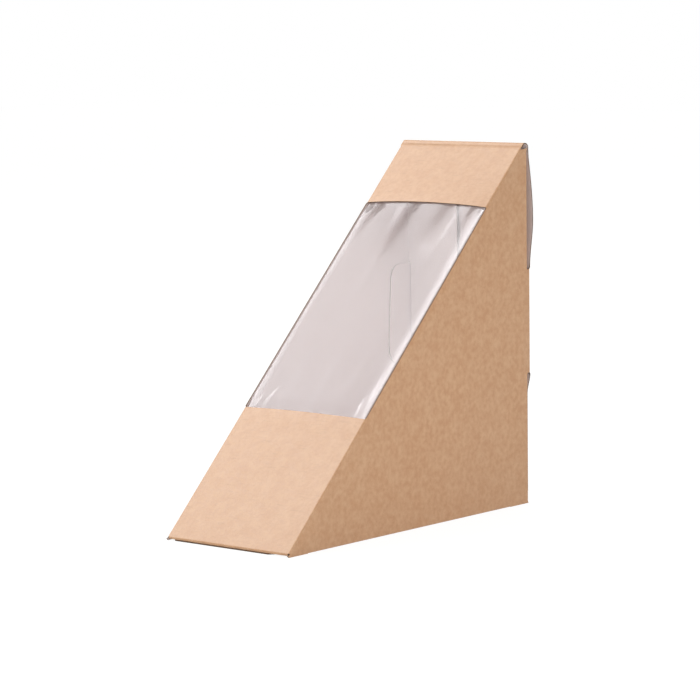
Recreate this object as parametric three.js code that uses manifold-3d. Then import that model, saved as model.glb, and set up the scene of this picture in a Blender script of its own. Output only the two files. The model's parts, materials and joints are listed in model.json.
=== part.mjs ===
// A triangular sandwich box: one folded and glued kraft board blank, a clear window film
// behind its sloping face, and the closing flap of the same blank, which hangs from the top
// fold and locks with two ears in slits at the back corners.
// Millimetres. X runs across the box, Y from the front fold to the back, Z up.

import * as THREE from 'three';
import { mergeVertices } from 'three/addons/utils/BufferGeometryUtils.js';
import Module from 'manifold-3d';

const wasm = await Module();
wasm.setup();

// Box, measured outside the folds
const boxWidth = 51;
const boxDepth = 124;
const boxHeight = 123;
const board = 0.4;
const film = 0.05;
const clearance = 0.3;

// Sloping face, measured along the slope
const bottomBand = 54.4;
const topBand = 28.6;
const topFoldSetback = 2.6;
const filmLap = 8;
const filmFoldRadius = 0.5;

// Tips of the triangular sides, cut back from where the slope and the back would meet
const tipCutOnSlope = 6.4;
const tipCutOnBack = 3.6;

// Glued flaps under the base
const leftUnderFlap = 12;
const underFlapSeam = 0.4;
const underFlapSetback = 1.5;
const leftUnderFlapTaper = 3;
const rightUnderFlapTaper = 9;

// Dust flaps that cross the back
const dustFlapOverlap = 5.8;
const dustFlapGap = 0.13;
const dustFlapTopDrop = 5.5;
const dustFlapTaper = 5;

// Closing flap: it rolls over the top fold, bows out, stands off at the ears and lies flat below
const rollRadius = 2.4;
const rollSweep = THREE.MathUtils.degToRad(80);
const bowReach = 4.05;
const bowDrop = 25.4;
const earStandoff = 2.2;
const settleLength = 7;
const flapFootGap = 1.2;
const flapCornerRadius = 3;

// Ears that lock the closing flap
const earLength = 34.8;
const earReach = 12.6;
const earTopTaper = 1.6;
const earEdgeLean = 2;
const earTopRadius = 3.4;
const earFootRadius = 3.8;
const earFootRise = 1;
const earFoldRadius = 0.6;

// Straight steps in one curved stretch of the closing flap, and in a quarter of a fold's round
const bendSteps = 8;
const foldSteps = 4;

const slopeAngle = Math.atan2(boxHeight, boxDepth);
const slopeLength = Math.hypot(boxDepth, boxHeight);
const halfWidth = boxWidth / 2;
const insideHalfWidth = halfWidth - board;
const filmHalfWidth = insideHalfWidth - clearance;
const flapHalfWidth = insideHalfWidth - clearance;
const topFold = slopeLength - topFoldSetback;
const windowTop = topFold - topBand;
const slitWidth = board + 2 * clearance;
const earBottom = (boxHeight - earLength) / 2;
const earTop = earBottom + earLength;
const slitBottom = earBottom - clearance;
const slitTop = earTop + clearance;

// Directions of the sloping face: up the slope, and square out of it
const upSlope = new THREE.Vector2(Math.cos(slopeAngle), Math.sin(slopeAngle));
const outOfSlope = new THREE.Vector2(-upSlope.y, upSlope.x);

function onSlope(along, out = 0) {
  return upSlope.clone().multiplyScalar(along).addScaledVector(outOfSlope, out);
}

// The closing flap turns about the middle of the board at the top fold
const hinge = onSlope(topFold, -board / 2);

const xAxis = new THREE.Vector3(1, 0, 0);
const yAxis = new THREE.Vector3(0, 1, 0);
const zAxis = new THREE.Vector3(0, 0, 1);

// An outline drawn in Y and Z becomes a solid from one X to another
function across(shape, fromX, toX) {
  const geometry = new THREE.ExtrudeGeometry(shape, { depth: toX - fromX, bevelEnabled: false });
  geometry.applyMatrix4(new THREE.Matrix4().makeBasis(yAxis, zAxis, xAxis));
  return geometry.translate(fromX, 0, 0);
}

// An outline drawn in X and Z becomes a board on the back, its outer face at y
function onBack(shape, y, thickness) {
  const geometry = new THREE.ExtrudeGeometry(shape, { depth: thickness, bevelEnabled: false });
  const inwards = yAxis.clone().negate();
  geometry.applyMatrix4(new THREE.Matrix4().makeBasis(xAxis, zAxis, inwards));
  return geometry.translate(0, y, 0);
}

function polygon(...corners) {
  return new THREE.Shape(corners.map(([a, b]) => new THREE.Vector2(a, b)));
}

// A bent sheet seen edge on: its middle line, given a thickness
function bentSheet(middleLine, thickness) {
  const points = middleLine.getPoints(bendSteps);
  const front = [];
  const behind = [];
  points.forEach((point, i) => {
    const before = points[Math.max(i - 1, 0)];
    const after = points[Math.min(i + 1, points.length - 1)];
    const along = after.clone().sub(before).normalize();
    const side = new THREE.Vector2(-along.y, along.x).multiplyScalar(thickness / 2);
    front.push(point.clone().add(side));
    behind.unshift(point.clone().sub(side));
  });
  return new THREE.Shape([...front, ...behind]);
}

// A sheet folded into a tray section: a web across x with a leg down at each end, top at y = 0
function traySection(halfWeb, leg, thickness, radius) {
  const inner = radius - thickness;
  const shape = new THREE.Shape();
  shape.moveTo(-halfWeb, -leg);
  shape.lineTo(-halfWeb, -radius);
  shape.absarc(-halfWeb + radius, -radius, radius, Math.PI, Math.PI / 2, true);
  shape.absarc(halfWeb - radius, -radius, radius, Math.PI / 2, 0, true);
  shape.lineTo(halfWeb, -leg);
  shape.lineTo(halfWeb - thickness, -leg);
  shape.absarc(halfWeb - radius, -radius, inner, 0, Math.PI / 2, false);
  shape.absarc(-halfWeb + radius, -radius, inner, Math.PI / 2, Math.PI, false);
  shape.lineTo(-halfWeb + thickness, -leg);
  shape.closePath();
  return shape;
}

function toSolid(geometry) {
  geometry.deleteAttribute('normal');
  geometry.deleteAttribute('uv');
  const merged = mergeVertices(geometry, 1e-4);
  return new wasm.Manifold(new wasm.Mesh({
    numProp: 3,
    vertProperties: new Float32Array(merged.attributes.position.array),
    triVerts: new Uint32Array(merged.index.array),
  }));
}

function toGeometry(solid) {
  const mesh = solid.getMesh();
  const geometry = new THREE.BufferGeometry();
  geometry.setAttribute('position', new THREE.BufferAttribute(mesh.vertProperties, 3));
  geometry.setIndex(new THREE.BufferAttribute(mesh.triVerts, 1));
  geometry.computeVertexNormals();
  return geometry;
}

// Centre of a fold's round at the front: one board in from the slope and from a face at height z
function frontFoldCentre(z) {
  const height = z + board;
  return new THREE.Vector2((upSlope.x * height + board) / upSlope.y, height);
}

// The sloping face and the base are one strip, folded at the front, with the window cut out
function faceAndBase() {
  const fold = frontFoldCentre(board);
  const shape = new THREE.Shape();
  shape.moveTo(boxDepth, board);
  shape.lineTo(boxDepth, 2 * board);
  shape.lineTo(fold.x, fold.y);
  const noseStart = onSlope(topFold, -board);
  shape.lineTo(noseStart.x, noseStart.y);
  shape.absarc(hinge.x, hinge.y, board / 2, slopeAngle - Math.PI / 2, slopeAngle + Math.PI / 2, false);
  shape.absarc(fold.x, fold.y, board, slopeAngle + Math.PI / 2, 1.5 * Math.PI, false);
  shape.closePath();

  const windowCut = new THREE.Shape([
    onSlope(bottomBand, -2 * board),
    onSlope(windowTop, -2 * board),
    onSlope(windowTop, board),
    onSlope(bottomBand, board),
  ]);
  const strip = toSolid(across(shape, -halfWidth, halfWidth));
  return strip.subtract(toSolid(across(windowCut, -insideHalfWidth, insideHalfWidth)));
}

// A triangular side, its lower front corner rounded and its upper tip cut off
function triangularSide(fromX) {
  const fold = frontFoldCentre(0);
  const tip = onSlope(slopeLength - tipCutOnSlope);
  const shape = new THREE.Shape();
  shape.moveTo(boxDepth, 0);
  shape.lineTo(boxDepth, boxHeight - tipCutOnBack);
  shape.lineTo(tip.x, tip.y);
  shape.absarc(fold.x, fold.y, board, slopeAngle + Math.PI / 2, 1.5 * Math.PI, false);
  shape.closePath();
  return toSolid(across(shape, fromX, fromX + board));
}

// A flap glued under the base, folded from the foot of a side: side is -1 left, 1 right
function underFlap(side, flapWidth, taper) {
  const freeEdge = side * (halfWidth - flapWidth);
  const front = underFlapSetback;
  const back = boxDepth - underFlapSetback;
  const shape = polygon(
    [side * halfWidth, front + taper],
    [side * (halfWidth - taper), front],
    [freeEdge, front],
    [freeEdge, back],
    [side * (halfWidth - taper), back],
    [side * halfWidth, back - taper],
  );
  return toSolid(new THREE.ExtrudeGeometry(shape, { depth: board, bevelEnabled: false }));
}

// A dust flap across the back with the slit for an ear at its corner fold
function dustFlap(side, lean) {
  const flapWidth = halfWidth + dustFlapOverlap / 2;
  const bottom = 2 * board + clearance;
  const top = boxHeight - dustFlapTopDrop;
  const slitEdge = halfWidth - board - slitWidth;
  const shape = polygon(
    [0, bottom],
    [0, slitBottom],
    [-side * (halfWidth - slitEdge), slitBottom],
    [-side * (halfWidth - slitEdge), slitTop],
    [0, slitTop],
    [0, top],
    [-side * flapWidth, top - dustFlapTaper],
    [-side * flapWidth, bottom],
  );
  const geometry = onBack(shape, 0, board);
  geometry.rotateZ(side * lean);
  return toSolid(geometry.translate(side * halfWidth, boxDepth, 0));
}

// A block behind one outer face of the box, with that face's two side folds rounded
function roundedBehind(outwards, y, z) {
  const reach = boxDepth + boxHeight;
  const shape = new THREE.Shape();
  shape.moveTo(-halfWidth, -reach);
  shape.lineTo(-halfWidth, -board);
  shape.absarc(-halfWidth + board, -board, board, Math.PI, Math.PI / 2, true);
  shape.absarc(halfWidth - board, -board, board, Math.PI / 2, 0, true);
  shape.lineTo(halfWidth, -reach);
  shape.closePath();
  const geometry = new THREE.ExtrudeGeometry(shape, {
    depth: 2 * reach,
    bevelEnabled: false,
    curveSegments: foldSteps,
  });
  const along = xAxis.clone().cross(outwards);
  geometry.translate(0, 0, -reach);
  geometry.applyMatrix4(new THREE.Matrix4().makeBasis(xAxis, outwards, along));
  return toSolid(geometry.translate(0, y, z));
}

function cartonSolid() {
  const rightFlapLean = Math.atan2(board + dustFlapGap, halfWidth - dustFlapOverlap / 2);
  const pieces = [
    triangularSide(-halfWidth),
    triangularSide(insideHalfWidth),
    underFlap(-1, leftUnderFlap, leftUnderFlapTaper),
    underFlap(1, boxWidth - leftUnderFlap - underFlapSeam, rightUnderFlapTaper),
    dustFlap(-1, 0),
    dustFlap(1, rightFlapLean),
  ];
  const joined = pieces.reduce((body, piece) => body.add(piece), faceAndBase());
  const slopeOut = new THREE.Vector3(0, outOfSlope.x, outOfSlope.y);
  return joined
    .intersect(roundedBehind(slopeOut, 0, 0))
    .intersect(roundedBehind(zAxis.clone().negate(), 0, 0))
    .intersect(roundedBehind(yAxis, boxDepth, 0));
}

// The film is glued behind both bands and folded onto both sides
function windowFilm() {
  const section = traySection(filmHalfWidth, filmLap, film, filmFoldRadius);
  const length = windowTop - bottomBand + 2 * filmLap;
  const geometry = new THREE.ExtrudeGeometry(section, {
    depth: length,
    bevelEnabled: false,
    curveSegments: foldSteps,
  });
  const outwards = new THREE.Vector3(0, outOfSlope.x, outOfSlope.y);
  const downSlope = new THREE.Vector3(0, -upSlope.x, -upSlope.y);
  geometry.applyMatrix4(new THREE.Matrix4().makeBasis(xAxis, outwards, downSlope));
  const upperEnd = onSlope(windowTop + filmLap, -board - clearance);
  return geometry.translate(0, upperEnd.x, upperEnd.y);
}

// Middle line of the closing flap's board, from the top fold down to its free edge
function closingFlapLine() {
  const start = new THREE.Vector2(hinge.x + board / 2 + clearance, hinge.y);
  const rollCentre = new THREE.Vector2(start.x, start.y - rollRadius);
  const leave = Math.PI / 2 - rollSweep;
  const rollEnd = new THREE.Vector2(Math.cos(leave), Math.sin(leave))
    .multiplyScalar(rollRadius)
    .add(rollCentre);
  const rollWay = new THREE.Vector2(Math.sin(leave), -Math.cos(leave));
  const bow = new THREE.Vector2(boxDepth + bowReach, hinge.y - bowDrop);
  const upperPull = (rollEnd.y - bow.y) / 3;
  const lowerPull = (bow.y - earTop) / 3;
  const standing = boxDepth + earStandoff;
  const lying = boxDepth + clearance + board / 2;
  const settled = earBottom - settleLength;
  const settlePull = settleLength / 3;

  const line = new THREE.Path();
  line.moveTo(start.x, start.y);
  line.absarc(rollCentre.x, rollCentre.y, rollRadius, Math.PI / 2, leave, true);
  line.bezierCurveTo(
    rollEnd.x + rollWay.x * upperPull, rollEnd.y + rollWay.y * upperPull,
    bow.x, bow.y + upperPull,
    bow.x, bow.y,
  );
  line.bezierCurveTo(bow.x, bow.y - lowerPull, standing, earTop + lowerPull, standing, earTop);
  line.lineTo(standing, earBottom);
  line.bezierCurveTo(standing, earBottom - settlePull, lying, settled + settlePull, lying, settled);
  line.lineTo(lying, flapFootGap);
  return line;
}

// Outline of an ear in Y and Z, from the back's outer face inwards
function earShape() {
  const root = boxDepth + earStandoff + board / 2;
  const tip = boxDepth - earReach;
  const upperTip = tip + earEdgeLean;
  const shape = new THREE.Shape();
  shape.moveTo(root, earTop);
  shape.lineTo(upperTip + earTopRadius + earTopTaper, earTop);
  shape.quadraticCurveTo(upperTip, earTop - earTopTaper / 2, upperTip, earTop - earTopRadius);
  shape.lineTo(tip, earBottom + 2 * earFootRadius);
  shape.quadraticCurveTo(tip, earBottom + earFootRadius, tip + earFootRadius, earBottom + earFootRise);
  shape.lineTo(root, earBottom);
  shape.closePath();
  return shape;
}

function closingFlap() {
  const sheet = toSolid(across(bentSheet(closingFlapLine(), board), -flapHalfWidth, flapHalfWidth));
  const outline = new THREE.Shape();
  outline.moveTo(-halfWidth, boxHeight);
  outline.lineTo(-halfWidth, earBottom);
  outline.lineTo(-flapHalfWidth, earBottom - board);
  outline.lineTo(-flapHalfWidth, flapFootGap + flapCornerRadius);
  outline.quadraticCurveTo(-flapHalfWidth, flapFootGap, -flapHalfWidth + flapCornerRadius, flapFootGap);
  outline.lineTo(flapHalfWidth - flapCornerRadius, flapFootGap);
  outline.quadraticCurveTo(flapHalfWidth, flapFootGap, flapHalfWidth, flapFootGap + flapCornerRadius);
  outline.lineTo(flapHalfWidth, earBottom - board);
  outline.lineTo(halfWidth, earBottom);
  outline.lineTo(halfWidth, boxHeight);
  outline.closePath();
  const reach = earReach + earStandoff + board;
  const trimmed = sheet.intersect(toSolid(onBack(outline, boxDepth + 2 * bowReach, 3 * bowReach)));

  const earFold = traySection(flapHalfWidth, reach, board, earFoldRadius);
  const folded = new THREE.ExtrudeGeometry(earFold, {
    depth: earLength,
    bevelEnabled: false,
    curveSegments: foldSteps,
  });
  folded.translate(0, boxDepth + earStandoff + board / 2, earBottom);
  const ears = toSolid(folded).intersect(toSolid(across(earShape(), -halfWidth, halfWidth)));
  return trimmed.add(ears);
}

const kraftBoard = new THREE.MeshStandardMaterial({ color: 0xc89b74, roughness: 0.85 });
const flapBoard = new THREE.MeshStandardMaterial({ color: 0xbf9069, roughness: 0.85 });
const clearFilm = new THREE.MeshStandardMaterial({
  color: 0xf2f4f4,
  roughness: 0.08,
  transparent: true,
  opacity: 0.25,
});

function piece(name, geometry, material) {
  const mesh = new THREE.Mesh(geometry, material);
  mesh.name = name;
  return mesh;
}

const sandwichBox = new THREE.Group();
sandwichBox.add(
  piece('carton', toGeometry(cartonSolid()), kraftBoard),
  piece('window_film', windowFilm(), clearFilm),
  piece('closing_flap', toGeometry(closingFlap()), flapBoard),
);

// The box stands on its base with the origin under the middle of its length
const bounds = new THREE.Box3().setFromObject(sandwichBox);
sandwichBox.position.y = -(bounds.min.y + bounds.max.y) / 2;

export default sandwichBox;
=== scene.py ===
"""A triangular kraft board sandwich box with a clear film window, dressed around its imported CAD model.

The board is one folded sheet: kraft outside, white lamination inside and a brown cut edge. Metres, with
+X across the box, +Y from the front fold to the back and +Z up.
"""

import json
import math

import bmesh
import bpy
from bpy.props import FloatProperty, FloatVectorProperty, PointerProperty
from mathutils import Matrix, Vector, noise


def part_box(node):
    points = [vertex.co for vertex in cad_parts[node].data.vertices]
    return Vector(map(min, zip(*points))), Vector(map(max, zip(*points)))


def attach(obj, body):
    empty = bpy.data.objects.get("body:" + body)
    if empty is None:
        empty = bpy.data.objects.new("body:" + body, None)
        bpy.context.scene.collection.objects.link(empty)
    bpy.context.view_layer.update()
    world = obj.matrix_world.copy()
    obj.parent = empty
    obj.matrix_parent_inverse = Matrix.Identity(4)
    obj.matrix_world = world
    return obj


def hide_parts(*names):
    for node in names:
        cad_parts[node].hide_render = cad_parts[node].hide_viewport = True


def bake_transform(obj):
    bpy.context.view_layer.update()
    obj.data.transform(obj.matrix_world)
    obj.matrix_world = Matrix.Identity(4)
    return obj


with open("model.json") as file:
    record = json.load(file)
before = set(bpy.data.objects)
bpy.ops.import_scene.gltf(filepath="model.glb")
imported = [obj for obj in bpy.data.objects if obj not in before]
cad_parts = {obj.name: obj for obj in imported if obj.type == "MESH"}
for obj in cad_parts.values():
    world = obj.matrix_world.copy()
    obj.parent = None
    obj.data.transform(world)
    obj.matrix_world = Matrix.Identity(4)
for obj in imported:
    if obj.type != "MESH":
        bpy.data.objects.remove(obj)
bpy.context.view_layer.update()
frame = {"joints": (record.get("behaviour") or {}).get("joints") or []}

bl_info = {
    "name": "Sandwich Box",
    "version": (1, 0, 0),
    "blender": (4, 5, 0),
    "location": "3D Viewport > Sidebar > Sandwich Box",
    "description": "Folds a kraft board sandwich box with a film window and its closing flap",
    "category": "Add Mesh",
}

MM = 0.001
TINY = 0.01 * MM
HINGE = next(joint for joint in frame["joints"] if joint["name"] == "closing_flap_hinge")
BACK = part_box("carton")[1][1]


def hex_colour(code):
    """An sRGB hex colour as linear RGB."""
    shares = [int(code[i:i + 2], 16) / 255 for i in (0, 2, 4)]
    return [c / 12.92 if c <= 0.04045 else ((c + 0.055) / 1.055) ** 2.4 for c in shares]


def length(name, description, default):
    return FloatProperty(name=name, description=description, default=default, unit="LENGTH", precision=5)


def colour(name, description, code):
    return FloatVectorProperty(
        name=name, description=description, default=hex_colour(code), subtype="COLOR", size=3, min=0, max=1)


class SandwichBoxSizes(bpy.types.PropertyGroup):
    width: length("Width", "Outside width across the two side folds", 51 * MM)
    depth: length("Depth", "Length of the base from the front fold to the back", 124 * MM)
    height: length("Height", "Height at which the slope and the back would meet", 123 * MM)
    board: length("Board", "Thickness of the board", 0.4 * MM)
    crease: length("Crease radius", "Outer radius of the creased folds", 0.5 * MM)
    lower_band: length("Lower band", "Slope covered by board below the window", 54.4 * MM)
    upper_band: length("Upper band", "Slope covered by board above the window", 28.6 * MM)
    fold_setback: length("Top fold setback", "From the top fold to where slope and back would meet", 2.6 * MM)
    seam_drop: length("Seam drop", "From the top fold to where the closing flap's sheet starts", 1.5 * MM)
    tip_on_slope: length("Tip cut on slope", "Side tip cut back along the slope", 5.6 * MM)
    tip_on_back: length("Tip cut on back", "Side tip cut back along the back", 3.6 * MM)
    upper_bow: length("Upper edge bow", "How far the window's upper edge bows out of the slope", 1.5 * MM)
    lower_bow: length("Lower edge bow", "How far the window's lower edge bows out of the slope", 0.7 * MM)


class SandwichBoxFlaps(bpy.types.PropertyGroup):
    left_under: length("Left under-flap", "Width of the glued flap from the left side", 12 * MM)
    under_seam: length("Under-flap seam", "Gap between the two flaps under the base", 0.4 * MM)
    under_setback: length("Under-flap setback", "From the base's ends to the flaps' ends", 1.5 * MM)
    dust_overlap: length("Dust flap overlap", "How far the two dust flaps lap", 5.8 * MM)
    dust_top_drop: length("Dust flap drop", "From the full height to the top of a dust flap", 5.5 * MM)
    dust_taper: length("Dust flap taper", "Fall of a dust flap's top edge", 5 * MM)
    dust_foot: length("Dust flap foot", "From the ground to a dust flap's bottom edge", 1.1 * MM)
    dust_gap: length("Dust flap gap", "Gap between the two dust flaps where they lap", 0.9 * MM)
    slit: length("Slit", "Width of the slit that an ear passes", 1.0 * MM)
    slit_below: length("Slit below ear", "From an ear down to the slit's lower end", 0.3 * MM)
    slit_above: length("Slit above ear", "From an ear up to the slit's upper end", 0.05 * MM)
    clearance: length("Clearance", "Gap between the closing flap and the board under it", 0.3 * MM)
    top_crease: length("Top crease", "Radius of the crease at the top of the slope", 1.2 * MM)
    roll: length("Roll", "Inner radius of the roll over the top", 2.4 * MM)
    narrowing: length("Narrowing", "Drop over which the closing flap comes to its hanging width", 3 * MM)
    half_flap: length("Closing flap half width", "Half the width of the hanging closing flap", 24.8 * MM)
    bow_reach: length("Bow reach", "How far the closing flap bows out behind the back", 4.05 * MM)
    bow_drop: length("Bow drop", "From the hinge down to the widest part of the bow", 25.4 * MM)
    standoff: length("Standoff", "Gap behind the back beside the ears", 2.2 * MM)
    settle: length("Settle", "Height over which the flap comes to lie on the back", 7 * MM)
    foot_gap: length("Foot gap", "From the ground to the flap's free edge", 1.2 * MM)
    foot_corner: length("Foot corner", "Radius of the free edge's corners", 3 * MM)
    ear_length: length("Ear length", "Height of an ear along its fold", 34.8 * MM)
    ear_reach: length("Ear reach", "How far an ear reaches inside the back", 12.6 * MM)
    ear_lean: length("Ear lean", "Lean of an ear's free edge", 2 * MM)
    ear_fold: length("Ear fold", "Outer radius of an ear's fold", 0.6 * MM)
    ear_foot: length("Ear foot", "Height over which an ear's lower corner is rounded", 7.5 * MM)
    ear_head: length("Ear head", "Height over which an ear's upper corner is rounded", 4.6 * MM)


class SandwichBoxFilm(bpy.types.PropertyGroup):
    lap: length("Lap", "Film glued behind a band and onto a side", 8 * MM)
    fold: length("Fold radius", "Radius at which the film turns onto a side", 0.7 * MM)
    glue: length("Glue", "Gap between a band and the film behind it", 0.05 * MM)
    rise: length("Rise", "Length over which the film comes up from behind a band to the slope", 5 * MM)
    taut: length("Taut edge", "Width beside a side fold that the wrinkles leave smooth", 3 * MM)
    sag: length("Sag", "How far the film hangs in at the window's middle", 0.6 * MM)


class SandwichBoxLooks(bpy.types.PropertyGroup):
    kraft_light: colour("Kraft, light", "Lighter tone of the kraft side", "CC9F76")
    kraft_dark: colour("Kraft, dark", "Darker tone of the kraft side", "BE8B5E")
    kraft_fibre: colour("Kraft fibre", "Dark fibres in the kraft side", "A2764E")
    lamination: colour("Lamination", "White lamination inside the box", "EBDCD8")
    cut_edge: colour("Cut edge", "Bare edge of the board", "8E7058")
    film: colour("Film", "Faint milkiness of the film", "F7F0F0")
    floor: colour("Floor", "Studio floor", "F2F2F0")
    ambient: FloatProperty(name="Ambient", description="Light from all round", default=0.55, min=0)
    key: FloatProperty(name="Key", description="Power of the large lamp above the left", default=5.0, min=0)
    overhead: FloatProperty(name="Overhead", description="Power of the lamp overhead", default=0.8, min=0)
    side_fill: FloatProperty(
        name="Side fill", description="Power of the lamp at the right", default=0.095, min=0)
    front_fill: FloatProperty(
        name="Front fill", description="Power of the lamp at the left front", default=0.9, min=0)
    back_fill: FloatProperty(
        name="Back fill", description="Power of the lamp behind the left", default=1.6, min=0)


class SandwichBoxCamera(bpy.types.PropertyGroup):
    azimuth: FloatProperty(
        name="Azimuth", description="Turn round the box from its front",
        default=math.radians(39.984), subtype="ANGLE")
    elevation: FloatProperty(
        name="Elevation", description="Rise above the horizon", default=math.radians(6.729), subtype="ANGLE")
    roll: FloatProperty(
        name="Roll", description="Turn about the line of sight",
        default=math.radians(-0.681), subtype="ANGLE")
    distance: length("Distance", "From the camera to its target", 946.1 * MM)
    lens: FloatProperty(name="Lens", description="Focal length in millimetres", default=150.0, min=1)
    target: FloatVectorProperty(
        name="Target", description="Point that the camera looks at",
        default=(-0.28 * MM, -2.41 * MM, 56.23 * MM), subtype="TRANSLATION", size=3)


class Layout:
    """Places that more than one piece needs, worked out from the sizes."""

    def __init__(self, scene):
        self.sizes = scene.sandwich_box_sizes
        self.flaps = scene.sandwich_box_flaps
        self.film = scene.sandwich_box_film
        sizes = self.sizes
        angle = math.atan2(sizes.height, sizes.depth)
        self.slope_angle = angle
        self.up_slope = Vector((0, math.cos(angle), math.sin(angle)))
        self.out_of_slope = Vector((0, -math.sin(angle), math.cos(angle)))
        self.front_corner = Vector((0, BACK - sizes.depth, 0))
        self.half = sizes.width / 2
        self.strip = self.half - sizes.crease - 5 * TINY
        self.film_half = self.half - sizes.board - self.film.glue
        self.slope_length = math.hypot(sizes.depth, sizes.height)
        self.top_fold = self.slope_length - sizes.fold_setback
        self.window_top = self.top_fold - sizes.upper_band
        self.side_tip = self.slope_length - sizes.tip_on_slope
        self.ear_bottom = (sizes.height - self.flaps.ear_length) / 2
        self.ear_top = self.ear_bottom + self.flaps.ear_length
        self.slit_bottom = self.ear_bottom - self.flaps.slit_below
        self.slit_top = self.ear_top + self.flaps.slit_above

    def on_slope(self, across, along, out=0.0):
        """A point on the sloping face: across the box, up the slope and out of it."""
        foot = self.front_corner + Vector((across, 0, 0))
        return foot + self.up_slope * along + self.out_of_slope * out

    def along_slope(self, place):
        return (place - self.front_corner).dot(self.up_slope)

    def above_slope(self, place):
        return (place - self.front_corner).dot(self.out_of_slope)

    def bow(self, across, along):
        """How far the board and the film bow out of the slope, most at the window's free edges."""
        sizes = self.sizes
        arch = math.cos(math.pi / 2 * min(abs(across) / self.half, 1)) ** 0.8
        rise = 0.0
        if along > self.window_top:
            share = max(self.top_fold - along, 0) / sizes.upper_band
            rise = sizes.upper_bow * share ** 1.5
        elif along < sizes.lower_band:
            share = max(along, 0) / sizes.lower_band
            rise = sizes.lower_bow * share ** 3
        else:
            fade = 18 * MM
            upper = math.exp(-(self.window_top - along) / fade)
            lower = math.exp(-(along - sizes.lower_band) / fade)
            rise = sizes.upper_bow * upper + sizes.lower_bow * lower
        return arch * rise


def cut(bm, place, normal, snap=TINY):
    """Cuts every face of the sheet where a plane crosses it, through a corner that is nearer than snap."""
    bmesh.ops.bisect_plane(
        bm, geom=bm.verts[:] + bm.edges[:] + bm.faces[:], dist=snap, plane_co=place, plane_no=normal)


def steps(start, end, step):
    """Evenly spaced values from start to end, about a step apart."""
    count = max(round((end - start) / step), 1)
    return [start + (end - start) * i / count for i in range(count + 1)]


def sharp_edges(bm, angle):
    return [e for e in bm.edges if len(e.link_faces) == 2 and e.calc_face_angle(0) > angle]


def round_creases(bm, radius, segments=4):
    """Rounds every fold of about a right angle."""
    bmesh.ops.bevel(
        bm, geom=sharp_edges(bm, math.radians(40)), offset=radius, offset_type="OFFSET", segments=segments,
        profile=0.5, affect="EDGES", material=-1, clamp_overlap=False)


def face_outwards(bm, direction):
    """Turns the whole sheet if the face furthest in a direction faces the other way."""
    bmesh.ops.recalc_face_normals(bm, faces=bm.faces)
    bm.normal_update()
    furthest = max(bm.faces, key=lambda face: face.calc_center_median().dot(direction))
    if furthest.normal.dot(direction) < 0:
        bmesh.ops.reverse_faces(bm, faces=bm.faces[:])


def board_object(name, bm, board, materials):
    """A sheet of board from its outer skin: kraft outside, lamination inside, bare at its edges."""
    mesh = bpy.data.meshes.new(name)
    bm.to_mesh(mesh)
    bm.free()
    for material in materials:
        mesh.materials.append(material)
    mesh.polygons.foreach_set("use_smooth", [True] * len(mesh.polygons))
    piece = bpy.data.objects.new(name, mesh)
    bpy.context.scene.collection.objects.link(piece)
    wall = piece.modifiers.new("Board", "SOLIDIFY")
    wall.thickness = board
    wall.offset = -1
    wall.use_even_offset = True
    wall.use_quality_normals = True
    wall.material_offset = 1
    wall.material_offset_rim = 2
    flatter = piece.modifiers.new("Flat panels", "WEIGHTED_NORMAL")
    flatter.mode = "FACE_AREA_WITH_ANGLE"
    flatter.weight = 60
    flatter.keep_sharp = True
    return piece


def add_node(tree, kind, links=None, **settings):
    """Adds a node, sets its sockets and properties, and links its inputs."""
    node = tree.nodes.new(kind)
    for key, value in settings.items():
        name = key.replace("_", " ").title() if key.lower() == key else key
        if hasattr(node, key):
            setattr(node, key, value)
        else:
            node.inputs[name].default_value = value
    for socket, source in (links or {}).items():
        tree.links.new(source, node.inputs[socket])
    return node


def new_material(name):
    material = bpy.data.materials.new(name)
    material.use_nodes = True
    material.node_tree.nodes.clear()
    return material, material.node_tree


def with_alpha(rgb):
    return (*rgb, 1.0)


def cycles_per_metre(size):
    """Scale of a pattern whose features are of a size, for nodes that read Object coordinates in metres."""
    return 1 / size


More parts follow.
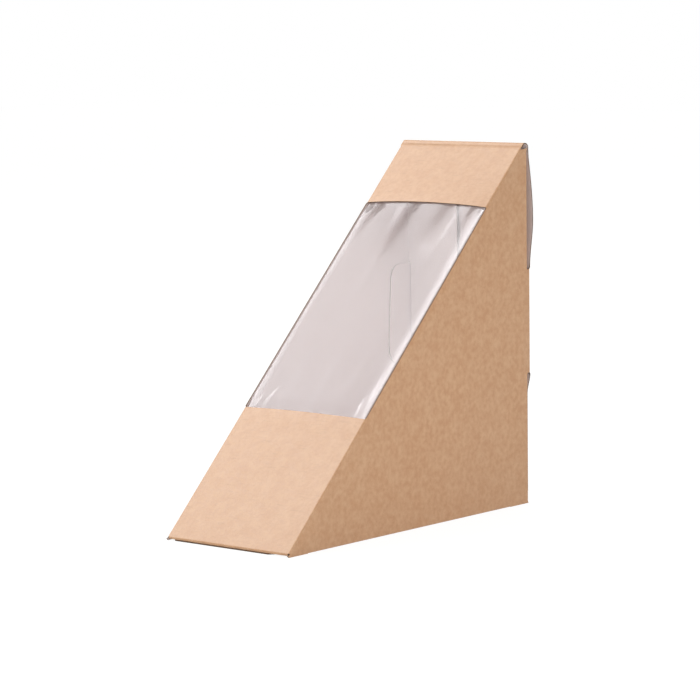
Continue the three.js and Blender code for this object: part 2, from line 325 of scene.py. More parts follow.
def kraft_material(looks):
    # Uncoated kraft liner, calendered: cloudy brown fibre mat, matt, with a faint sheen at a low angle
    material, tree = new_material("uncoated_kraft_liner")
    place = add_node(tree, "ShaderNodeTexCoord").outputs["Object"]
    clouds = add_node(
        tree, "ShaderNodeTexNoise", {"Vector": place},
        Scale=cycles_per_metre(4 * MM), Detail=3.0, Roughness=0.55)
    mottle = add_node(
        tree, "ShaderNodeTexNoise", {"Vector": place},
        Scale=cycles_per_metre(1.6 * MM), Detail=3.0, Roughness=0.6)
    tone = add_node(
        tree, "ShaderNodeMix", {"A": clouds.outputs["Fac"], "B": mottle.outputs["Fac"]}, Factor=0.65)
    spread = add_node(tree, "ShaderNodeValToRGB", {"Fac": tone.outputs["Result"]})
    spread.color_ramp.elements[0].position = 0.38
    spread.color_ramp.elements[1].position = 0.62
    spread.color_ramp.elements[0].color = with_alpha(looks.kraft_dark)
    spread.color_ramp.elements[1].color = with_alpha(looks.kraft_light)
    grain = add_node(
        tree, "ShaderNodeMapping", {"Vector": place},
        Scale=(cycles_per_metre(5 * MM), cycles_per_metre(0.45 * MM), cycles_per_metre(0.45 * MM)))
    fibres = add_node(
        tree, "ShaderNodeTexNoise", {"Vector": grain.outputs["Vector"]}, Scale=1.0, Detail=2.0, Roughness=0.5)
    strands = add_node(tree, "ShaderNodeMapRange", {"Value": fibres.outputs["Fac"]}, **{
        "From Min": 0.60, "From Max": 0.76, "To Min": 0.0, "To Max": 0.42})
    body = add_node(
        tree, "ShaderNodeMix", {"Factor": strands.outputs["Result"], "A": spread.outputs["Color"]},
        data_type="RGBA", B=with_alpha(looks.kraft_fibre))
    gloss = add_node(tree, "ShaderNodeMapRange", {"Value": mottle.outputs["Fac"]}, **{
        "From Min": 0.3, "From Max": 0.7, "To Min": 0.40, "To Max": 0.50})
    fine = add_node(
        tree, "ShaderNodeTexNoise", {"Vector": place},
        Scale=cycles_per_metre(0.35 * MM), Detail=2.0, Roughness=0.6)
    height = add_node(
        tree, "ShaderNodeMix", {"A": fine.outputs["Fac"], "B": fibres.outputs["Fac"]}, Factor=0.5)
    bump = add_node(
        tree, "ShaderNodeBump", {"Height": height.outputs["Result"]}, Strength=0.35, Distance=0.02 * MM)
    board = add_node(
        tree, "ShaderNodeBsdfPrincipled",
        {"Base Color": body.outputs["Result"], "Roughness": gloss.outputs["Result"],
         "Normal": bump.outputs["Normal"]},
        **{"IOR": 1.5, "Specular IOR Level": 0.8})
    add_node(tree, "ShaderNodeOutputMaterial", {"Surface": board.outputs["BSDF"]})
    return material


def lamination_material(looks):
    # White film lamination over board: smooth and satin, with the board's faint orange peel
    material, tree = new_material("white_lamination")
    place = add_node(tree, "ShaderNodeTexCoord").outputs["Object"]
    peel = add_node(
        tree, "ShaderNodeTexNoise", {"Vector": place},
        Scale=cycles_per_metre(1.5 * MM), Detail=2.0, Roughness=0.5)
    shade = add_node(
        tree, "ShaderNodeTexNoise", {"Vector": place},
        Scale=cycles_per_metre(20 * MM), Detail=1.0, Roughness=0.5)
    deeper = [c * 0.97 for c in looks.lamination]
    body = add_node(
        tree, "ShaderNodeMix", {"Factor": shade.outputs["Fac"]}, data_type="RGBA",
        A=with_alpha(looks.lamination), B=with_alpha(deeper))
    bump = add_node(
        tree, "ShaderNodeBump", {"Height": peel.outputs["Fac"]}, Strength=0.15, Distance=0.01 * MM)
    skin = add_node(
        tree, "ShaderNodeBsdfPrincipled",
        {"Base Color": body.outputs["Result"], "Normal": bump.outputs["Normal"]},
        Roughness=0.5, IOR=1.5)
    add_node(tree, "ShaderNodeOutputMaterial", {"Surface": skin.outputs["BSDF"]})
    return material


def cut_edge_material(looks):
    # Die-cut board edge: bare fibre, rough, with a fine mottle
    material, tree = new_material("die_cut_board_edge")
    place = add_node(tree, "ShaderNodeTexCoord").outputs["Object"]
    fray = add_node(
        tree, "ShaderNodeTexNoise", {"Vector": place},
        Scale=cycles_per_metre(0.5 * MM), Detail=2.0, Roughness=0.6)
    darker = [c * 0.8 for c in looks.cut_edge]
    body = add_node(
        tree, "ShaderNodeMix", {"Factor": fray.outputs["Fac"]}, data_type="RGBA",
        A=with_alpha(looks.cut_edge), B=with_alpha(darker))
    edge = add_node(
        tree, "ShaderNodeBsdfPrincipled", {"Base Color": body.outputs["Result"]}, Roughness=0.85, IOR=1.5)
    add_node(tree, "ShaderNodeOutputMaterial", {"Surface": edge.outputs["BSDF"]})
    return material


def film_material(looks):
    # Clear plastic window film: glossy, with a faint milkiness, and more of a mirror at a low angle. The
    # attribute on its vertices adds painted highlights along its folds and ridges and leaves its troughs
    # clearer for painted dark streaks
    material, tree = new_material("clear_window_film")
    facing = add_node(tree, "ShaderNodeLayerWeight", Blend=0.5)
    grazing = add_node(tree, "ShaderNodeMath", {0: facing.outputs["Facing"]}, operation="POWER")
    grazing.inputs[1].default_value = 4.0
    haze_and_painted_reflection = add_node(tree, "ShaderNodeAttribute", attribute_name="haze_and_painted_reflection")
    cover = add_node(
        tree, "ShaderNodeMath", {0: grazing.outputs["Value"], 1: haze_and_painted_reflection.outputs["Fac"]}, operation="ADD",
        use_clamp=True)
    place = add_node(tree, "ShaderNodeTexCoord").outputs["Object"]
    ripple = add_node(
        tree, "ShaderNodeTexNoise", {"Vector": place},
        Scale=cycles_per_metre(9 * MM), Detail=1.0, Roughness=0.4)
    bump = add_node(
        tree, "ShaderNodeBump", {"Height": ripple.outputs["Fac"]}, Strength=0.12, Distance=0.1 * MM)
    gloss = add_node(
        tree, "ShaderNodeBsdfPrincipled", {"Normal": bump.outputs["Normal"]},
        **{"Base Color": with_alpha(looks.film), "Roughness": 0.12, "IOR": 1.5, "Metallic": 0.3})
    clear = add_node(tree, "ShaderNodeBsdfTransparent")
    sheet = add_node(
        tree, "ShaderNodeMixShader",
        {"Fac": cover.outputs["Value"], 1: clear.outputs["BSDF"], 2: gloss.outputs["BSDF"]})
    add_node(tree, "ShaderNodeOutputMaterial", {"Surface": sheet.outputs["Shader"]})
    return material


def shown_white(tree, plain, white):
    """Mixes in white for what the camera, a reflection or a clear sheet shows of the surroundings."""
    light = add_node(tree, "ShaderNodeLightPath")
    mirrored = add_node(
        tree, "ShaderNodeMath", {0: light.outputs["Is Camera Ray"], 1: light.outputs["Is Glossy Ray"]},
        operation="MAXIMUM")
    seen = add_node(
        tree, "ShaderNodeMath", {0: mirrored.outputs["Value"], 1: light.outputs["Is Transmission Ray"]},
        operation="MAXIMUM")
    return add_node(
        tree, "ShaderNodeMixShader", {"Fac": seen.outputs["Value"], 1: plain, 2: white}).outputs["Shader"]


def floor_material(looks):
    # White studio sweep: shown white, with the soft shadow under the box kept
    material, tree = new_material("white_studio_sweep")
    matt = add_node(
        tree, "ShaderNodeBsdfPrincipled", **{"Base Color": with_alpha(looks.floor), "Roughness": 0.9})
    white = add_node(tree, "ShaderNodeEmission", Color=(1, 1, 1, 1), Strength=1.12)
    kept_shadow = add_node(
        tree, "ShaderNodeMixShader", {1: matt.outputs["BSDF"], 2: white.outputs["Emission"]}, Fac=0.8)
    surface = shown_white(tree, matt.outputs["BSDF"], kept_shadow.outputs["Shader"])
    add_node(tree, "ShaderNodeOutputMaterial", {"Surface": surface})
    return material


def board_materials(looks):
    """The board's three finishes, made once and shared by its pieces."""
    if "uncoated_kraft_liner" in bpy.data.materials:
        names = ("uncoated_kraft_liner", "white_lamination", "die_cut_board_edge")
        return [bpy.data.materials[name] for name in names]
    return [kraft_material(looks), lamination_material(looks), cut_edge_material(looks)]


def add_panel(bm, corners):
    """A flat panel of the folded sheet from its corners; panels share the corners on a fold."""
    return bm.faces.new([bm.verts.new(corner) for corner in corners])


def sloping_face(bm, layout):
    """The two bands of the sloping face, and the base folded back from the lower one."""
    sizes = layout.sizes
    half = layout.half
    turn = math.pi - layout.slope_angle
    under = sizes.board + 2 * TINY
    tangent = sizes.crease * math.tan(turn / 2)
    start = under / math.sin(layout.slope_angle) + tangent
    strip = layout.strip
    seam = layout.top_fold - sizes.seam_drop
    for left, right in ((-half, -strip), (-strip, strip), (strip, half)):
        add_panel(bm, [
            layout.on_slope(left, start),
            layout.on_slope(right, start),
            layout.on_slope(right, sizes.lower_band),
            layout.on_slope(left, sizes.lower_band),
        ])
    add_panel(bm, [
        layout.on_slope(-half, layout.window_top),
        layout.on_slope(half, layout.window_top),
        layout.on_slope(half, layout.side_tip),
        layout.on_slope(half, seam),
        layout.on_slope(-half, seam),
        layout.on_slope(-half, layout.side_tip),
    ])
    bmesh.ops.remove_doubles(bm, verts=bm.verts, dist=0.001 * MM)
    front = [
        edge for edge in bm.edges
        if all(abs(layout.along_slope(v.co) - start) < TINY for v in edge.verts)
        and all(abs(v.co.x) < strip + TINY for v in edge.verts)
    ]
    centre = layout.on_slope(0, start, -sizes.crease)
    rounded = bmesh.ops.spin(
        bm, geom=front + list({v for edge in front for v in edge.verts}), cent=centre, axis=(1, 0, 0),
        angle=turn, steps=8, use_duplicate=False)
    lowest = [item for item in rounded["geom_last"] if isinstance(item, bmesh.types.BMEdge)]
    base = bmesh.ops.extrude_edge_only(bm, edges=lowest)["geom"]
    for vert in (item for item in base if isinstance(item, bmesh.types.BMVert)):
        vert.co.y = BACK - 0.1 * MM
    return start


def side_panels(bm, layout, start):
    """The two triangular sides, with a corner at each end of every fold along their edges."""
    sizes = layout.sizes
    flaps = layout.flaps
    front = layout.front_corner.y
    nose_on_slope = 0.85 * MM
    nose_on_base = 1.2 * MM
    for side in (-1, 1):
        x = side * layout.half
        corners = [
            layout.on_slope(x, nose_on_slope),
            layout.on_slope(x, start),
            layout.on_slope(x, sizes.lower_band),
            layout.on_slope(x, layout.window_top),
            layout.on_slope(x, layout.side_tip),
            Vector((x, BACK, sizes.height - sizes.tip_on_back)),
            Vector((x, BACK, sizes.height - flaps.dust_top_drop)),
            Vector((x, BACK, layout.slit_top)),
            Vector((x, BACK, layout.slit_bottom)),
            Vector((x, BACK, flaps.dust_foot)),
            Vector((x, BACK, 0)),
            Vector((x, BACK - flaps.under_setback - under_taper(side), 0)),
            Vector((x, front + flaps.under_setback + under_taper(side), 0)),
            Vector((x, front + nose_on_base, 0)),
        ]
        add_panel(bm, corners)


def under_taper(side):
    """The wide right flap under the base tapers more than the narrow left one."""
    return (3 if side < 0 else 9) * MM


def under_flaps(bm, layout):
    """The two flaps folded under the base and glued to it."""
    flaps = layout.flaps
    half = layout.half
    front = layout.front_corner.y + flaps.under_setback
    back = BACK - flaps.under_setback
    widths = {-1: flaps.left_under, 1: 2 * half - flaps.left_under - flaps.under_seam}
    for side, width in widths.items():
        taper = under_taper(side)
        free = side * (half - width)
        add_panel(bm, [
            Vector((side * half, front + taper, 0)),
            Vector((side * (half - taper), front, 0)),
            Vector((free, front, 0)),
            Vector((free, back, 0)),
            Vector((side * (half - taper), back, 0)),
            Vector((side * half, back - taper, 0)),
        ])


def dust_flaps(bm, layout):
    """The two flaps that lap across the back, each slit at its fold for an ear."""
    sizes = layout.sizes
    flaps = layout.flaps
    half = layout.half
    slit = sizes.board + flaps.slit
    bottom = flaps.dust_foot
    low = layout.slit_bottom
    high = layout.slit_top
    top = sizes.height - flaps.dust_top_drop
    lap = (sizes.board + flaps.dust_gap) / (half - flaps.dust_overlap / 2)
    for side in (-1, 1):
        lean = lap if side < 0 else 0.0
        reach = half + side * flaps.dust_overlap / 2

        def place(out, z, side=side, lean=lean):
            return Vector((side * (half - out), BACK - lean * out, z))

        def top_at(out, reach=reach):
            return top - flaps.dust_taper * out / reach

        for below, above in ((bottom, low), (high, None)):
            near_top = top if above is None else above
            far_top = top_at(slit) if above is None else above
            add_panel(bm, [place(0, below), place(slit, below), place(slit, far_top), place(0, near_top)])
        for below, above in ((bottom, low), (low, high), (high, None)):
            near_top = top_at(slit) if above is None else above
            far_top = top_at(reach) if above is None else above
            add_panel(bm, [
                place(slit, below), place(reach, below), place(reach, far_top), place(slit, near_top)])


def unevenness(place, size, amount):
    """A gentle, repeatable waviness of hand-folded board."""
    return amount * noise.noise(place / size)


def flex_carton(bm, layout):
    """Bows the window's edges out and makes the panels a little uneven."""
    inner = layout.half - layout.sizes.crease
    clear_of_folds = 12 * MM
    side_hollow = 0.25 * MM
    for vert in bm.verts:
        x = vert.co.x
        along = layout.along_slope(vert.co)
        if abs(layout.above_slope(vert.co)) < 0.05 * MM and abs(x) < inner + 0.02 * MM:
            edge = max(1 - (abs(x) / inner) ** 6, 0)
            lift = layout.bow(x, along) + edge * unevenness(vert.co, 22 * MM, 0.12 * MM)
            vert.co += layout.out_of_slope * lift
        elif abs(abs(x) - layout.half) < TINY and vert.co.z > 1.5 * MM:
            depth = min(-layout.above_slope(vert.co), BACK - vert.co.y, vert.co.z) / clear_of_folds
            slack = min(max(depth, 0), 1)
            hollow = slack * (side_hollow + unevenness(vert.co, 30 * MM, 0.2 * MM))
            vert.co.x -= math.copysign(max(hollow, 0), x)


class SANDWICHBOX_OT_carton(bpy.types.Operator):
    """Folds the carton: sloping face, sides, base, glued under-flaps and dust flaps"""
    bl_idname = "sandwich_box.carton"
    bl_label = "Carton"

    def execute(self, context):
        layout = Layout(context.scene)
        bm = bmesh.new()
        start = sloping_face(bm, layout)
        side_panels(bm, layout, start)
        under_flaps(bm, layout)
        dust_flaps(bm, layout)
        bmesh.ops.remove_doubles(bm, verts=bm.verts, dist=0.001 * MM)
        face_outwards(bm, Vector((-1, 0, 0)))
        sizes = layout.sizes
        step = 4.2 * MM
        for x in steps(-layout.strip, layout.strip, step):
            cut(bm, (x, 0, 0), (1, 0, 0))
        stretches = (
            (start, sizes.lower_band),
            (sizes.lower_band, layout.window_top),
            (layout.window_top, layout.side_tip),
        )
        snap = sizes.crease + 0.1 * MM
        for low, high in stretches:
            for along in steps(low, high, step)[1:]:
                cut(bm, layout.on_slope(0, along), (0, 1, 0), snap)
                cut(bm, layout.on_slope(0, along), (0, 0, 1), snap)
        round_creases(bm, sizes.crease)
        flex_carton(bm, layout)
        materials = board_materials(context.scene.sandwich_box_looks)
        piece = board_object("carton_board", bm, sizes.board, materials)
        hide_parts("carton")
        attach(piece, "box")
        return {"FINISHED"}


# Tension streaks and wrinkles of the film: from a place to another, each across the box and up the slope in
# millimetres, then the half width at each end and the lift, also in millimetres. A trough has a negative lift
# and starts at the window's upper edge.
WRINKLES = (
    ((-18.4, 146.0), (-21.5, 126.0), 1.3, 2.2, -0.34),
    ((-2.8, 146.5), (-6.0, 119.0), 1.6, 3.6, -0.38),
    ((10.8, 146.5), (7.5, 126.0), 2.4, 3.0, -0.34),
    ((21.3, 146.5), (20.2, 130.0), 1.2, 1.5, -0.26),
    ((16.3, 146.0), (13.4, 124.0), 0.7, 1.1, 0.05),
    ((5.5, 145.5), (11.5, 120.0), 1.5, 2.8, 0.03),
    ((-9.3, 145.5), (-6.0, 128.0), 1.6, 2.2, 0.03),
    ((20.6, 62.2), (20.5, 54.5), 0.45, 0.75, 0.10),
    ((22.4, 71.0), (22.8, 60.0), 0.4, 0.5, 0.07),
    ((-16.0, 64.0), (-18.4, 55.0), 0.5, 0.9, 0.06),
    ((-20.5, 60.0), (-22.2, 55.5), 0.5, 0.8, 0.06),
    ((1.0, 55.0), (20.5, 81.0), 0.6, 0.6, 0.015),
)


def ease(share):
    """A share held between 0 and 1, with a smooth start and end."""
    share = min(max(share, 0), 1)
    return share * share * (3 - 2 * share)


def wrinkle_lift(across, along):
    """How far the wrinkles lift the film at a place: ridges fade at both ends, troughs down the slope."""
    lift = 0.0
    for (x0, s0), (x1, s1), start_width, end_width, height in WRINKLES:
        dx = (x1 - x0) * MM
        ds = (s1 - s0) * MM
        reach = math.hypot(dx, ds)
        x = across - x0 * MM
        s = along - s0 * MM
        share = (x * dx + s * ds) / reach ** 2
        if not -0.2 < share < 1.2:
            continue
        aside = (x * ds - s * dx) / reach
        width = (start_width + (end_width - start_width) * min(max(share, 0), 1)) * MM
        if height < 0:
            start = 0.6 + 0.4 * min(max(share / 0.15, 0), 1)
            fade = start * math.cos(math.pi / 2 * min(max(share, 0), 1))
        else:
            fade = math.sin(math.pi * min(max((share + 0.2) / 1.4, 0), 1)) ** 2
        lift += height * MM * fade * math.exp(-(aside / width) ** 2)
    return lift


def film_place(layout, unrolled, along):
    """A point of the film: behind the bands, level with the slope in the window, turned down at the sides."""
    film = layout.film
    sizes = layout.sizes
    flat = layout.film_half - film.fold
    side = math.copysign(1, unrolled)
    past = abs(unrolled) - flat
    clear = ease(min(along - sizes.lower_band, layout.window_top - along) / film.rise)
    behind = -(sizes.board + film.glue) * (1 - clear) - 2 * TINY
    if past <= 0:
        lengthwise = (along - sizes.lower_band) / (layout.window_top - sizes.lower_band)
        sag = film.sag * math.sin(math.pi * min(max(lengthwise, 0), 1))
        arch = max(1 - (unrolled / flat) ** 2, 0)
        lift = layout.bow(unrolled, along) + wrinkle_lift(unrolled, along)
        lift = ease(-past / film.taut) * lift - sag * arch
        return layout.on_slope(unrolled, along, behind + lift)
    turned = min(past / film.fold, math.pi / 2)
    leg = past - film.fold * turned
    x = flat + film.fold * math.sin(turned)
    drop = film.fold * (1 - math.cos(turned)) + leg
    return layout.on_slope(side * x, along, behind - drop)


def film_haze_and_painted_reflection(layout, unrolled, along):
    """The film's faint milkiness plus painted reflection: a painted highlight along its folds and ridges, and
    less in its troughs for painted dark streaks.
    """
    streak_width = 2.6 * MM
    streak_length = 45 * MM
    streaks = noise.noise(Vector((unrolled / streak_width, along / streak_length, 0)))
    haze_and_painted_reflection = 0.17 + 0.02 * streaks
    # Painted highlight along the film's folds, wider and stronger at the right fold than at the left
    width, painted_highlight_strength = (5.0 * MM, 0.17) if unrolled > 0 else (3.6 * MM, 0.10)
    painted_fold_highlight = ease(1 - abs(layout.film_half - abs(unrolled)) / width)
    haze_and_painted_reflection += painted_highlight_strength * painted_fold_highlight * (1 + 0.35 * streaks)
    # Painted reflection of the wrinkles: more haze on ridges for painted highlights, less in troughs for
    # painted dark streaks
    ridge = wrinkle_lift(unrolled, along) / MM
    painted_reflection_per_millimetre = 0.34 if ridge < 0 else 2.0
    haze_and_painted_reflection += painted_reflection_per_millimetre * ridge
    clearest, milkiest = 0.03, 0.85
    return min(max(haze_and_painted_reflection, clearest), milkiest)


class SANDWICHBOX_OT_window_film(bpy.types.Operator):
    """Stretches the clear film behind the window and folds it onto the sides"""
    bl_idname = "sandwich_box.window_film"
    bl_label = "Window Film"

    def execute(self, context):
        layout = Layout(context.scene)
        film = layout.film
        sizes = layout.sizes
        low = sizes.lower_band - film.lap
        high = layout.window_top + film.lap
        bm = bmesh.new()
        flat = layout.film_half - film.fold
        turned = flat + film.fold * math.pi / 2
        half_unrolled = turned + film.lap
        columns = steps(0, flat - 1.5 * MM, 0.6 * MM)[1:-1] + steps(flat - 1.5 * MM, turned, 0.15 * MM)
        columns += steps(turned, half_unrolled, 2 * MM)[1:]
        columns = [-across for across in reversed(columns)] + [0] + columns
        bmesh.ops.create_grid(bm, x_segments=len(columns) - 1, y_segments=150, size=1.0)
        milky_and_painted_reflection = bm.verts.layers.float.new("haze_and_painted_reflection")
        for vert in bm.verts:
            unrolled = columns[round((vert.co.x + 1) / 2 * (len(columns) - 1))]
            along = low + (high - low) * (vert.co.y + 1) / 2
            vert[milky_and_painted_reflection] = film_haze_and_painted_reflection(layout, unrolled, along)
            vert.co = film_place(layout, unrolled, along)
        face_outwards(bm, layout.out_of_slope)
        mesh = bpy.data.meshes.new("window_film_sheet")
        bm.to_mesh(mesh)
        bm.free()
        mesh.materials.append(film_material(context.scene.sandwich_box_looks))
        mesh.polygons.foreach_set("use_smooth", [True] * len(mesh.polygons))
        piece = bpy.data.objects.new("window_film_sheet", mesh)
        context.scene.collection.objects.link(piece)
        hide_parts("window_film")
        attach(piece, "box")
        return {"FINISHED"}


def curve_points(start, pull_start, pull_end, end, count):
    """Points along a curve that leaves and arrives in given directions, without its first."""
    points = []
    for i in range(1, count + 1):
        t = i / count
        u = 1 - t
        points.append(u ** 3 * start + 3 * u * u * t * pull_start + 3 * u * t * t * pull_end + t ** 3 * end)
    return points


def closing_flap_profile(layout):
    """Outer skin of the closing flap from the seam in the upper band, over the top fold, down the back."""
    sizes = layout.sizes
    flaps = layout.flaps
    half_board = sizes.board / 2
    hinge = Vector(HINGE["pos_m"])
    top = hinge.z + half_board
    meet = (top - layout.front_corner.z) / math.sin(layout.slope_angle)
    fold = flaps.top_crease
    tangent = fold * math.tan(layout.slope_angle / 2)
    profile = [layout.on_slope(0, along) for along in (layout.top_fold - sizes.seam_drop, meet - tangent)]
    crease_centre = layout.on_slope(0, meet - tangent, -fold)
    for i in range(1, 7):
        angle = math.pi / 2 + layout.slope_angle * (1 - i / 6)
        profile.append(crease_centre + fold * Vector((0, math.cos(angle), math.sin(angle))))
    roll = flaps.roll + half_board
    roll_centre = Vector((0, hinge.y + half_board + flaps.clearance, top - roll))
    sweep = math.radians(80)
    for i in range(0, 9):
        angle = math.pi / 2 - sweep * i / 8
        profile.append(roll_centre + roll * Vector((0, math.cos(angle), math.sin(angle))))
    roll_end = profile[-1]
    leave = Vector((0, math.sin(math.pi / 2 - sweep), -math.cos(math.pi / 2 - sweep)))
    bow = Vector((0, BACK + flaps.bow_reach + half_board, hinge.z - flaps.bow_drop))
    stand = Vector((0, BACK + flaps.standoff + half_board, layout.ear_top))
    lying = Vector((0, BACK + flaps.clearance + sizes.board, layout.ear_bottom - flaps.settle))
    down = Vector((0, 0, -1))
    upper_pull = (roll_end.z - bow.z) / 3
    lower_pull = (bow.z - stand.z) / 3
    settle_pull = flaps.settle / 3
    profile += curve_points(roll_end, roll_end + leave * upper_pull, bow - down * upper_pull, bow, 8)
    profile += curve_points(bow, bow + down * lower_pull, stand - down * lower_pull, stand, 8)
    profile += [Vector((0, stand.y, z)) for z in steps(layout.ear_top, layout.ear_bottom, -4 * MM)[1:]]
    ear_foot = profile[-1]
    profile += curve_points(ear_foot, ear_foot + down * settle_pull, lying - down * settle_pull, lying, 6)
    corner = flaps.foot_gap + flaps.foot_corner
    profile += [Vector((0, lying.y, z)) for z in steps(lying.z, corner, -4 * MM)[1:]]
    for i in range(1, 7):
        angle = math.pi / 2 * i / 6
        profile.append(Vector((0, lying.y, corner - flaps.foot_corner * math.sin(angle))))
    return profile


def flap_half_width(layout, place):
    """Half the closing flap's width: full at the top fold, narrower as it hangs, rounded at its foot."""
    flaps = layout.flaps
    hinge_z = HINGE["pos_m"][2]
    if place.y < HINGE["pos_m"][1] + flaps.clearance:
        return layout.half
    narrowing = min(max((hinge_z - place.z) / flaps.narrowing, 0), 1)
    half = layout.half + (flaps.half_flap - layout.half) * narrowing
    rise = place.z - flaps.foot_gap
    if rise < flaps.foot_corner:
        left = flaps.foot_corner - max(rise, 0)
        half -= flaps.foot_corner - math.sqrt(max(flaps.foot_corner ** 2 - left ** 2, 0))
    return half


# Shares of an ear's reach at which its outline is shaped, closer together at its tip
EAR_COLUMNS = (0.18, 0.34, 0.5, 0.64, 0.76, 0.86, 0.93, 0.975, 1.0)


def shape_ear(layout, share, rise):
    """An ear's outline: how far in a point lies and how high, from its shares of reach and height."""
    flaps = layout.flaps
    root = BACK + flaps.standoff + flaps.ear_fold
    reach = root - (BACK - flaps.ear_reach)
    straight = 0.55
    near_tip = max(share - straight, 0) / (1 - straight)
    foot = flaps.ear_foot * (1 - math.sqrt(max(1 - near_tip ** 2.2, 0)))
    head = flaps.ear_head * (1 - math.sqrt(max(1 - near_tip ** 3, 0)))
    low = layout.ear_bottom + foot
    high = layout.ear_top - head
    z = low + (high - low) * rise
    lean = flaps.ear_lean * (z - layout.ear_bottom) / flaps.ear_length * share
    return root - reach * share + lean, z


def add_ears(bm, layout):
    """Folds an ear forward from each side edge of the closing flap."""
    bm.edges.ensure_lookup_table()
    for side in (-1, 1):
        root = [
            edge for edge in bm.edges
            if len(edge.link_faces) == 1
            and all(v.co.x * side > layout.flaps.half_flap - TINY for v in edge.verts)
            and all(layout.ear_bottom - TINY < v.co.z < layout.ear_top + TINY for v in edge.verts)
        ]
        for share in EAR_COLUMNS:
            grown = bmesh.ops.extrude_edge_only(bm, edges=root)["geom"]
            root = [item for item in grown if isinstance(item, bmesh.types.BMEdge)]
            verts = [item for item in grown if isinstance(item, bmesh.types.BMVert)]
            lowest = min(v.co.z for v in verts)
            highest = max(v.co.z for v in verts)
            for vert in verts:
                rise = (vert.co.z - lowest) / (highest - lowest)
                vert.co.y, vert.co.z = shape_ear(layout, share, rise)


class SANDWICHBOX_OT_closing_flap(bpy.types.Operator):
    """Rolls the closing flap over the top fold and folds its two ears into the slits"""
    bl_idname = "sandwich_box.closing_flap"
    bl_label = "Closing Flap"

    def execute(self, context):
        layout = Layout(context.scene)
        profile = closing_flap_profile(layout)
        bm = bmesh.new()
        half = flap_half_width(layout, profile[0])
        left, right = (bm.verts.new(profile[0] + Vector((x, 0, 0))) for x in (-half, half))
        edges = [bm.edges.new((left, right))]
        for place in profile[1:]:
            grown = bmesh.ops.extrude_edge_only(bm, edges=edges)["geom"]
            edges = [item for item in grown if isinstance(item, bmesh.types.BMEdge)]
            half = flap_half_width(layout, place)
            for vert in (item for item in grown if isinstance(item, bmesh.types.BMVert)):
                vert.co = place + Vector((math.copysign(half, vert.co.x), 0, 0))
        add_ears(bm, layout)
        face_outwards(bm, Vector((0, 1, 0)))
        for x in steps(-0.8 * layout.half, 0.8 * layout.half, 4.2 * MM):
            cut(bm, (x, 0, 0), (1, 0, 0))
        round_creases(bm, layout.flaps.ear_fold)
        materials = board_materials(context.scene.sandwich_box_looks)
        piece = board_object("closing_flap_board", bm, layout.sizes.board, materials)
        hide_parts("closing_flap")
        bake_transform(piece)
        return {"FINISHED"}


def area_lamp(name, direction, distance, size, power, tint):
    """A soft square lamp that faces the box from a direction."""
    lamp = bpy.data.lights.new(name, "AREA")
    lamp.shape = "SQUARE"
    lamp.size = size
    lamp.energy = power
    lamp.color = tint
    holder = bpy.data.objects.new(name, lamp)
    aim = Vector((0, 0, 60 * MM))
    away = Vector(direction).normalized()
    holder.location = aim + away * distance
    holder.rotation_euler = away.to_track_quat("Z", "Y").to_euler()
    bpy.context.scene.collection.objects.link(holder)
    return holder


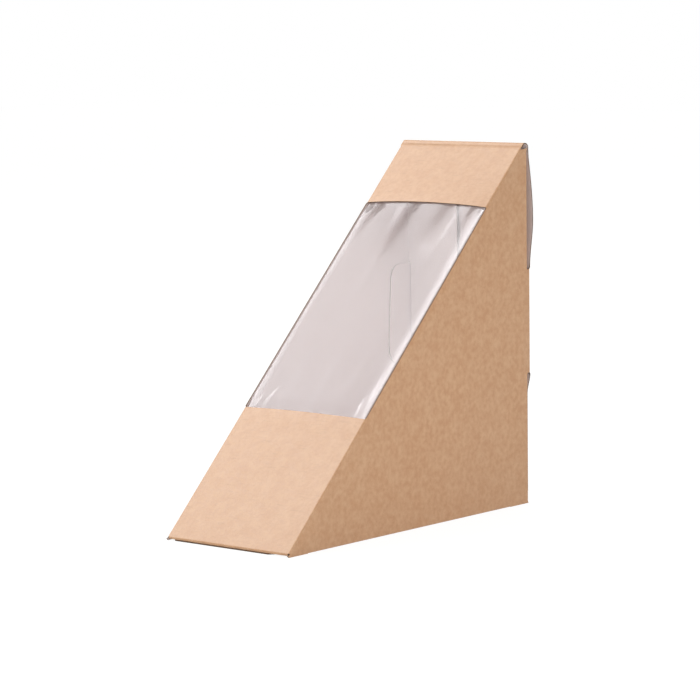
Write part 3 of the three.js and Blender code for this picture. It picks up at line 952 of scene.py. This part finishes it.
class SANDWICHBOX_OT_stage(bpy.types.Operator):
    """Sets the white floor, the soft studio lamps and the camera"""
    bl_idname = "sandwich_box.stage"
    bl_label = "Stage"

    def execute(self, context):
        scene = context.scene
        looks = scene.sandwich_box_looks
        self.add_floor(looks)
        self.light(scene, looks)
        self.add_camera(scene)
        scene.view_settings.view_transform = "Standard"
        return {"FINISHED"}

    def add_floor(self, looks):
        bm = bmesh.new()
        bmesh.ops.create_grid(bm, x_segments=1, y_segments=1, size=3.0)
        mesh = bpy.data.meshes.new("studio_floor")
        bm.to_mesh(mesh)
        bm.free()
        mesh.materials.append(floor_material(looks))
        floor = bpy.data.objects.new("studio_floor", mesh)
        bpy.context.scene.collection.objects.link(floor)

    def light(self, scene, looks):
        world = bpy.data.worlds.new("studio")
        scene.world = world
        world.use_nodes = True
        tree = world.node_tree
        tree.nodes.clear()
        around = add_node(tree, "ShaderNodeBackground", Color=(1, 1, 1, 1), Strength=looks.ambient)
        white = add_node(tree, "ShaderNodeBackground", Color=(1, 1, 1, 1), Strength=1.0)
        shown = shown_white(tree, around.outputs["Background"], white.outputs["Background"])
        add_node(tree, "ShaderNodeOutputWorld", {"Surface": shown})
        area_lamp("key_lamp", (-0.63, -0.17, 0.755), 0.9, 0.6, looks.key, (0.95, 0.98, 1.0))
        area_lamp("overhead_lamp", (0.25, -0.3, 0.95), 0.9, 0.4, looks.overhead, (1.0, 1.0, 1.0))
        area_lamp("side_fill_lamp", (0.97, 0.0, -0.2), 0.2, 0.12, looks.side_fill, (1.0, 0.98, 0.96))
        area_lamp("front_fill_lamp", (-0.35, -0.93, 0.1), 0.9, 0.5, looks.front_fill, (1.0, 0.98, 0.97))
        area_lamp("back_fill_lamp", (-0.5, 0.9, 0.35), 1.1, 0.7, looks.back_fill, (1.0, 0.98, 0.96))

    def add_camera(self, scene):
        shot = scene.sandwich_box_camera
        back = Vector((
            math.sin(shot.azimuth) * math.cos(shot.elevation),
            -math.cos(shot.azimuth) * math.cos(shot.elevation),
            math.sin(shot.elevation),
        ))
        level = (-back).cross(Vector((0, 0, 1))).normalized()
        upright = level.cross(-back)
        right = math.cos(shot.roll) * level + math.sin(shot.roll) * upright
        up = math.cos(shot.roll) * upright - math.sin(shot.roll) * level
        camera = bpy.data.cameras.new("camera")
        camera.lens = shot.lens
        camera.sensor_width = 36.0
        camera.clip_start = 0.01
        holder = bpy.data.objects.new("camera", camera)
        turn = Matrix((right, up, back)).transposed().to_4x4()
        holder.matrix_world = Matrix.Translation(Vector(shot.target) + back * shot.distance) @ turn
        scene.collection.objects.link(holder)
        scene.camera = holder


class SANDWICHBOX_PT_panel(bpy.types.Panel):
    """Lists the steps that make the box"""
    bl_label = "Sandwich Box"
    bl_idname = "SANDWICHBOX_PT_panel"
    bl_space_type = "VIEW_3D"
    bl_region_type = "UI"
    bl_category = "Sandwich Box"

    def draw(self, context):
        column = self.layout.column()
        for operator in OPERATORS:
            column.operator(operator.bl_idname)


GROUPS = {
    "sandwich_box_sizes": SandwichBoxSizes,
    "sandwich_box_flaps": SandwichBoxFlaps,
    "sandwich_box_film": SandwichBoxFilm,
    "sandwich_box_looks": SandwichBoxLooks,
    "sandwich_box_camera": SandwichBoxCamera,
}
OPERATORS = (
    SANDWICHBOX_OT_stage,
    SANDWICHBOX_OT_carton,
    SANDWICHBOX_OT_window_film,
    SANDWICHBOX_OT_closing_flap,
)


def register():
    for name, group in GROUPS.items():
        bpy.utils.register_class(group)
        setattr(bpy.types.Scene, name, PointerProperty(type=group))
    for operator in OPERATORS:
        bpy.utils.register_class(operator)
    bpy.utils.register_class(SANDWICHBOX_PT_panel)


def unregister():
    bpy.utils.unregister_class(SANDWICHBOX_PT_panel)
    for operator in reversed(OPERATORS):
        bpy.utils.unregister_class(operator)
    for name, group in GROUPS.items():
        delattr(bpy.types.Scene, name)
        bpy.utils.unregister_class(group)


def main():
    register()
    bpy.ops.sandwich_box.stage()
    bpy.ops.sandwich_box.carton()
    bpy.ops.sandwich_box.window_film()
    bpy.ops.sandwich_box.closing_flap()


if __name__ == "__main__":
    main()
